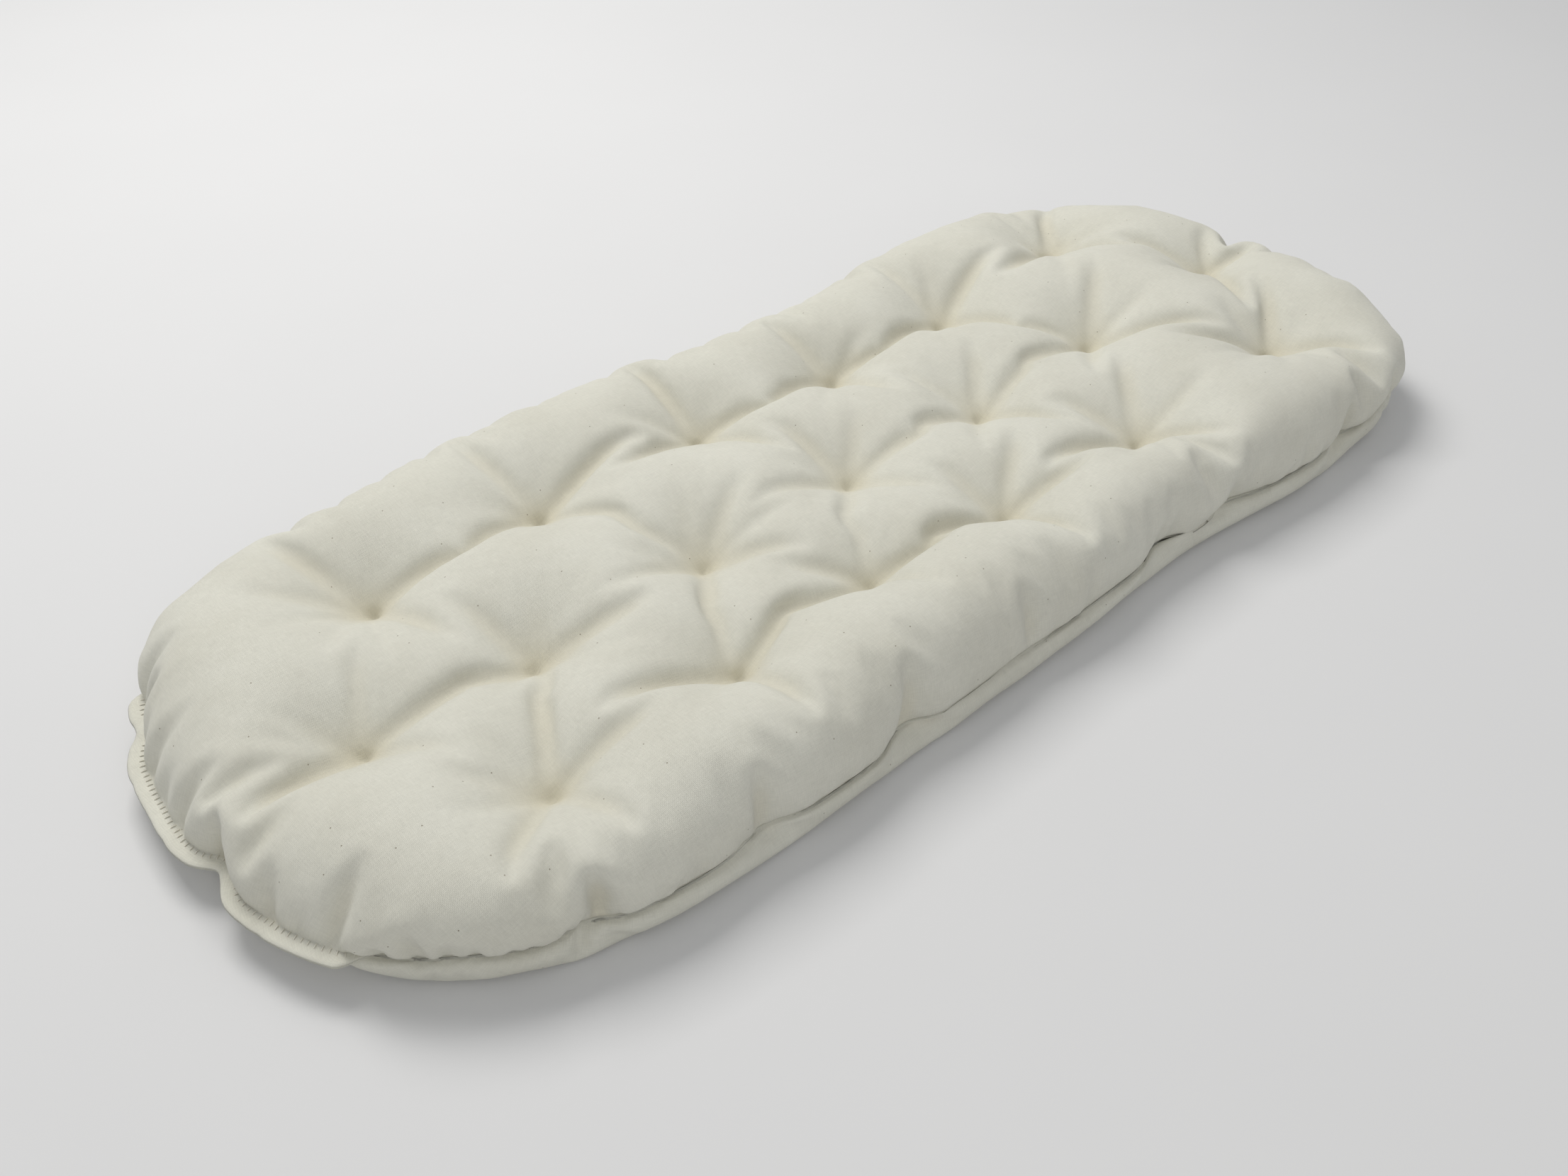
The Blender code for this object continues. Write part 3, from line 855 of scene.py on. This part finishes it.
def closing_stitches(ring, out, lip, wave):
    """Short stitches over both faces of the lip: points and faces."""
    step = np.linalg.norm(np.roll(ring, -1, 0) - ring, axis=1)
    walked = np.concatenate([[0], np.cumsum(step)[:-1]])
    on_lip = np.flatnonzero(lip > 0.5)
    on_lip = on_lip[np.argsort((walked[on_lip] - walked[on_lip[0]]) % (walked[-1] + step[-1]))]
    lengths = walked[on_lip]

    def place_at(distance, side, reach, height):
        x, y, z, out_x, out_y, wave_here, share = (
            np.interp(distance, lengths, values[on_lip]) for values in (*ring.T, *out.T, wave, lip)
        )
        rise = wave_here * reach / LIP + reach * LIP_TILT
        return x + out_x * reach, y + out_y * reach, z + side * (LIP_FACE * share + height) + rise

    parts = []
    for distance in np.arange(lengths[0] + STITCH_PITCH, lengths[-1] - STITCH_PITCH, STITCH_PITCH):
        for side in (1, -1):
            path = [
                place_at(distance + slant * STITCH_PITCH, side, reach, height)
                for slant, reach, height in STITCH_PATH
            ]
            parts.append(swept(bent(path, 3), CLOSING_THREAD, THREAD_SIDES))
    return joined(parts)


def side_thread(ring, out, lip):
    """The thread inside the turned seam, all round but the lip: points and faces."""
    sewn = np.flatnonzero(lip < 0.5)
    gaps = np.diff(sewn) > 1
    start = int(np.argmax(gaps)) + 1 if gaps.any() else 0
    sewn = np.roll(sewn, -start)
    path = ring[sewn].copy()
    path[:, :2] -= out[sewn] * SIDE_THREAD_INSET
    path[:, 2] += np.where(np.arange(len(sewn)) % 2, SIDE_THREAD_SWING, -SIDE_THREAD_SWING)
    return swept(path, THREAD, 5)


def stitches(ring, material):
    """The thread that closes the lip, and the thread of the rest of the seam."""
    out, lip = rim_frame(ring)
    closing = closing_stitches(ring, out, lip, lip_wave(ring) * lip)
    threads = (("closing_stitches", "closing_seam_thread", closing),
               ("side_seam_stitches", "side_seam_thread", side_thread(ring, out, lip)))
    for name, node, shape in threads:
        piece = add_piece(name, *shape, material)
        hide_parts(node)
        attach(piece, "root")


# ---------------------------------------------------------------- materials

class Nodes:
    """A material, and short ways to add and join its shader nodes."""

    def __init__(self, name):
        self.material = bpy.data.materials.new(name)
        self.material.use_nodes = True
        self.tree = self.material.node_tree
        self.shader = self.tree.nodes["Principled BSDF"]

    def add(self, kind, **settings):
        node = self.tree.nodes.new(kind)
        for key, value in settings.items():
            setattr(node, key, value)
        return node

    def feed(self, socket, value):
        if isinstance(value, bpy.types.NodeSocket):
            self.tree.links.new(value, socket)
        else:
            socket.default_value = value

    def math(self, operation, a, b=0.0, c=0.0):
        node = self.add("ShaderNodeMath", operation=operation)
        for socket, value in zip(node.inputs, (a, b, c)):
            self.feed(socket, value)
        return node.outputs[0]

    def remap(self, value, low, high, to_low=0.0, to_high=1.0):
        node = self.add("ShaderNodeMapRange")
        for socket, given in zip(node.inputs, (value, low, high, to_low, to_high)):
            self.feed(socket, given)
        return node.outputs[0]

    def noise(self, place, scale, detail=2.0, roughness=0.5):
        node = self.add("ShaderNodeTexNoise")
        self.feed(node.inputs["Vector"], place)
        for name, value in (("Scale", scale), ("Detail", detail), ("Roughness", roughness)):
            node.inputs[name].default_value = value
        return node.outputs["Fac"]

    def stretched(self, place, scale):
        node = self.add("ShaderNodeMapping")
        self.feed(node.inputs["Vector"], place)
        node.inputs["Scale"].default_value = scale
        return node.outputs["Vector"]

    def blend(self, share, a, b, mode="MIX"):
        node = self.add("ShaderNodeMix", data_type="RGBA", blend_type=mode)
        self.feed(node.inputs[0], share)
        for socket, value in ((node.inputs[6], a), (node.inputs[7], b)):
            self.feed(socket, (*value, 1) if isinstance(value, tuple) else value)
        return node.outputs[2]

    def bump(self, height, distance, strength=1.0, under=None):
        node = self.add("ShaderNodeBump")
        node.inputs["Strength"].default_value = strength
        node.inputs["Distance"].default_value = distance
        self.feed(node.inputs["Height"], height)
        if under is not None:
            self.feed(node.inputs["Normal"], under)
        return node.outputs["Normal"]

    def finish(self, colour, roughness, normal, sheen=0.0):
        self.feed(self.shader.inputs["Base Color"], colour)
        self.feed(self.shader.inputs["Roughness"], roughness)
        self.feed(self.shader.inputs["Normal"], normal)
        self.shader.inputs["Sheen Weight"].default_value = sheen
        self.shader.inputs["Sheen Roughness"].default_value = 0.6
        self.shader.inputs["Specular IOR Level"].default_value = 0.25
        return self.material


CREAM = (0.640, 0.628, 0.545)
PALE = (0.700, 0.692, 0.612)
# Painted shade: the darker, warmer colour laid into the creases.
PAINTED_CREASE_SHADE = (0.600, 0.555, 0.420)
FLECK = (0.150, 0.110, 0.065)
BATTING_TONES = ((0.62, 0.58, 0.49), (0.80, 0.77, 0.69))
TWINE_TONES = ((0.50, 0.45, 0.33), (0.74, 0.70, 0.58))
THREAD_TONES = ((0.56, 0.53, 0.44), (0.80, 0.78, 0.70))
FLOOR_TONES = ((0.68, 0.68, 0.685), (0.70, 0.70, 0.705))
LIGHT_TONE = (1.0, 0.985, 0.955)
SKY_TONE = (0.97, 0.985, 1.0, 1)
WEAVE_PITCH = 0.00055
SLUB_PITCHES = (180, 1700)  # along the threads and across them, for each metre
# How much of the painted crease shade the deepest creases take.
PAINTED_SHADE_SHARE = 0.65
FLECK_PITCH = 75.0  # cells for each metre, of which few hold a fleck
FLECK_SIZE = 0.024  # against a cell


def woven(n, place):
    """The height of a plain weave, in which each thread goes over and under those across it."""
    wander = n.math("MULTIPLY", n.noise(place, 120.0, 2.0), 5.0)
    split = n.add("ShaderNodeSeparateXYZ")
    n.feed(split.inputs[0], place)
    turns = math.pi / WEAVE_PITCH
    waves = [
        n.math("SINE", n.math("MULTIPLY_ADD", split.outputs[axis], turns, wander))
        for axis in (0, 1)
    ]
    over = n.math("GREATER_THAN", n.math("MULTIPLY", *waves), 0.0)
    warp, weft = (n.math("ABSOLUTE", wave) for wave in waves)
    return n.math("ADD", n.math("MULTIPLY", warp, over),
                  n.math("MULTIPLY", weft, n.math("SUBTRACT", 1.0, over)))


def slubbed(n, place):
    """The thicker places in the threads of both directions."""
    along, across = SLUB_PITCHES
    scales = ((along, across, 1), (across, along, 1))
    ways = [n.noise(n.stretched(place, scale), 1.0, 3.0) for scale in scales]
    return n.math("MULTIPLY", n.math("ADD", *ways), 0.5)


def flecked(n, place, colour):
    """The colour with a few dark seed flecks."""
    cells = n.add("ShaderNodeTexVoronoi", voronoi_dimensions="2D")
    n.feed(cells.inputs["Vector"], place)
    cells.inputs["Scale"].default_value = FLECK_PITCH
    pick = n.add("ShaderNodeSeparateColor")
    n.feed(pick.inputs[0], cells.outputs["Color"])
    fleck = n.math("MULTIPLY", n.math("LESS_THAN", cells.outputs["Distance"], FLECK_SIZE),
                   n.math("GREATER_THAN", pick.outputs[0], 0.88))
    return n.blend(n.math("MULTIPLY", fleck, 0.7), colour, FLECK)


def casing_cotton():
    """Unbleached cotton: plain weave with slubs, painted warm shade in its creases, and a few seed
    flecks.
    """
    n = Nodes("casing_cotton_woven")
    place = n.add("ShaderNodeUVMap", uv_map="cut").outputs["UV"]
    weave, slubs = woven(n, place), slubbed(n, place)
    cloud = n.noise(place, 16.0, 4.0, 0.6)
    colour = n.blend(n.remap(cloud, 0.32, 0.68), CREAM, PALE)
    hollow = n.add("ShaderNodeAttribute", attribute_name="hollow").outputs["Fac"]
    # Painted shade: darker, warmer colour the deeper a point lies in a crease.
    colour = n.blend(n.math("MULTIPLY", hollow, PAINTED_SHADE_SHARE), colour, PAINTED_CREASE_SHADE)
    grain = n.remap(slubs, 0.3, 0.7, 0.915, 1.065)
    shade = n.math("MULTIPLY", grain, n.remap(weave, 0.0, 1.0, 0.93, 1.02))
    tone = n.add("ShaderNodeCombineColor")
    for socket in tone.inputs:
        n.feed(socket, shade)
    colour = n.blend(1.0, colour, tone.outputs[0], "MULTIPLY")
    colour = flecked(n, place, colour)
    roughness = n.remap(cloud, 0.2, 0.8, 0.86, 0.96)
    normal = n.bump(weave, 0.00006, 0.9, n.bump(slubs, 0.00016, 0.9))
    return n.finish(colour, roughness, normal, 0.12)


def fibre_material(name, tones, scale, distance, sheen):
    """Loose cotton fibres: tangled streaks in colour and bump."""
    n = Nodes(name)
    place = n.add("ShaderNodeTexCoord").outputs["Object"]
    tangle = n.noise(n.stretched(place, (1.0, 0.35, 1.0)), scale, 8.0, 0.75)
    tufted = n.noise(place, scale * 0.12, 4.0, 0.6)
    mixed = n.math("ADD", n.math("MULTIPLY", tangle, 0.6), n.math("MULTIPLY", tufted, 0.4))
    colour = n.blend(n.remap(mixed, 0.3, 0.7), *tones)
    return n.finish(colour, n.remap(tangle, 0.2, 0.8, 0.85, 1.0), n.bump(mixed, distance), sheen)


def spun_material(name, tones, pitch, lean):
    """Spun thread: fine diagonal fibres round a strand."""
    n = Nodes(name)
    place = n.add("ShaderNodeTexCoord").outputs["Object"]
    split = n.add("ShaderNodeSeparateXYZ")
    n.feed(split.inputs[0], place)
    run = n.math("ADD", split.outputs[0], n.math("MULTIPLY", split.outputs[1], lean))
    run = n.math("ADD", run, n.math("MULTIPLY", split.outputs[2], lean * 0.7))
    ridge = n.math("ABSOLUTE", n.math("SINE", n.math("MULTIPLY", run, math.pi / pitch)))
    fuzz = n.noise(place, 2600.0, 3.0)
    height = n.math("ADD", n.math("MULTIPLY", ridge, 0.7), n.math("MULTIPLY", fuzz, 0.3))
    colour = n.blend(n.remap(height, 0.1, 0.9), *tones)
    return n.finish(colour, n.remap(fuzz, 0.2, 0.8, 0.65, 0.85), n.bump(height, 0.00005), 0.1)


def floor_material():
    """A plain pale floor."""
    n = Nodes("pale_floor")
    place = n.add("ShaderNodeTexCoord").outputs["Object"]
    mottle = n.noise(place, 6.0, 3.0)
    colour = n.blend(mottle, *FLOOR_TONES)
    return n.finish(colour, 0.9, n.bump(mottle, 0.0002))


# ---------------------------------------------------------------- stage

CAMERA_PLACE = (-0.44946 - CENTRE[0], -0.45973 - CENTRE[1], 0.48979)
CAMERA_RIGHT = (0.74688, -0.66485, -0.01228)
CAMERA_UP = (0.42962, 0.46836, 0.77205)
CAMERA_BACK = (-0.50754, -0.58191, 0.63544)
CAMERA_LENS = 34.959
KEY_PLACE = (0.08, 0.98, 1.60)
KEY_SIZE = 1.0
KEY_POWER = 24.5
FILL_PLACE = (-0.9, -1.5, 1.2)
FILL_SIZE = 1.2
FILL_POWER = 6.6
SKY = 0.43
FLOOR_REACH = 6


def soft_light(name, place, size, power):
    """A square area light that points at the middle of the object."""
    lamp = bpy.data.lights.new(name, "AREA")
    lamp.energy, lamp.size, lamp.color = power, size, LIGHT_TONE
    light = bpy.data.objects.new(name, lamp)
    light.location = place
    light.rotation_euler = (-Vector(place)).to_track_quat("-Z", "Y").to_euler()
    bpy.context.scene.collection.objects.link(light)


def stage():
    """The floor, the lights and the camera."""
    corners = [(x * FLOOR_REACH, y * FLOOR_REACH, 0) for x, y in ((-1, -1), (1, -1), (1, 1), (-1, 1))]
    floor = add_piece("floor", corners, [(0, 1, 2, 3)], floor_material())
    world = bpy.data.worlds.new("studio")
    world.use_nodes = True
    background = world.node_tree.nodes["Background"]
    background.inputs["Color"].default_value = SKY_TONE
    background.inputs["Strength"].default_value = SKY
    bpy.context.scene.world = world
    soft_light("key", KEY_PLACE, KEY_SIZE, KEY_POWER)
    soft_light("fill", FILL_PLACE, FILL_SIZE, FILL_POWER)
    data = bpy.data.cameras.new("camera")
    data.sensor_width, data.lens, data.clip_start = 36.0, CAMERA_LENS, 0.01
    camera = bpy.data.objects.new("camera", data)
    columns = (CAMERA_RIGHT, CAMERA_UP, CAMERA_BACK, CAMERA_PLACE)
    camera.matrix_world = Matrix([*zip(*columns), (0, 0, 0, 1)])
    bpy.context.scene.collection.objects.link(camera)
    bpy.context.scene.camera = camera
    bpy.context.scene.view_settings.view_transform = "Standard"


# ---------------------------------------------------------------- the object


def casing(top, low, flat, faces, rim):
    """The two cloth panels, each with its own flat cut kept as its UV map."""
    cotton = casing_cotton()
    panels = (("top_cloth", "top_panel", top, 1, flat),
              ("bottom_cloth", "bottom_panel", low, -1, flat * (UNDER_ALONG, UNDER_ACROSS)))
    for name, node, points, side, cut in panels:
        piece = cloth_panel(name, points, cut, faces, rim, side, cotton)
        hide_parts(node)
        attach(piece, "root")


def build():
    """The whole mattress."""
    top, low, flat, faces, rim = relax_casing()
    batting(top, low, flat, fibre_material("batting_fibre", BATTING_TONES, 420.0, 0.0012, 0.3))
    casing(top, low, flat, faces, rim)
    twine = spun_material("cotton_twine_laid", TWINE_TONES, 0.0005, 0.8)
    for k, place in enumerate(TUFTS):
        tie(f"tie_{k + 1:02d}", f"tuft_tie_{k + 1:02d}", place, k * TIE_TURN, twine)
    thread = spun_material("sewing_thread_spun", THREAD_TONES, 0.0003, 0.9)
    fine_ring = refine(top, flat, faces, rim)[0][: 2 * rim]
    stitches(fine_ring, thread)


build()
stage()
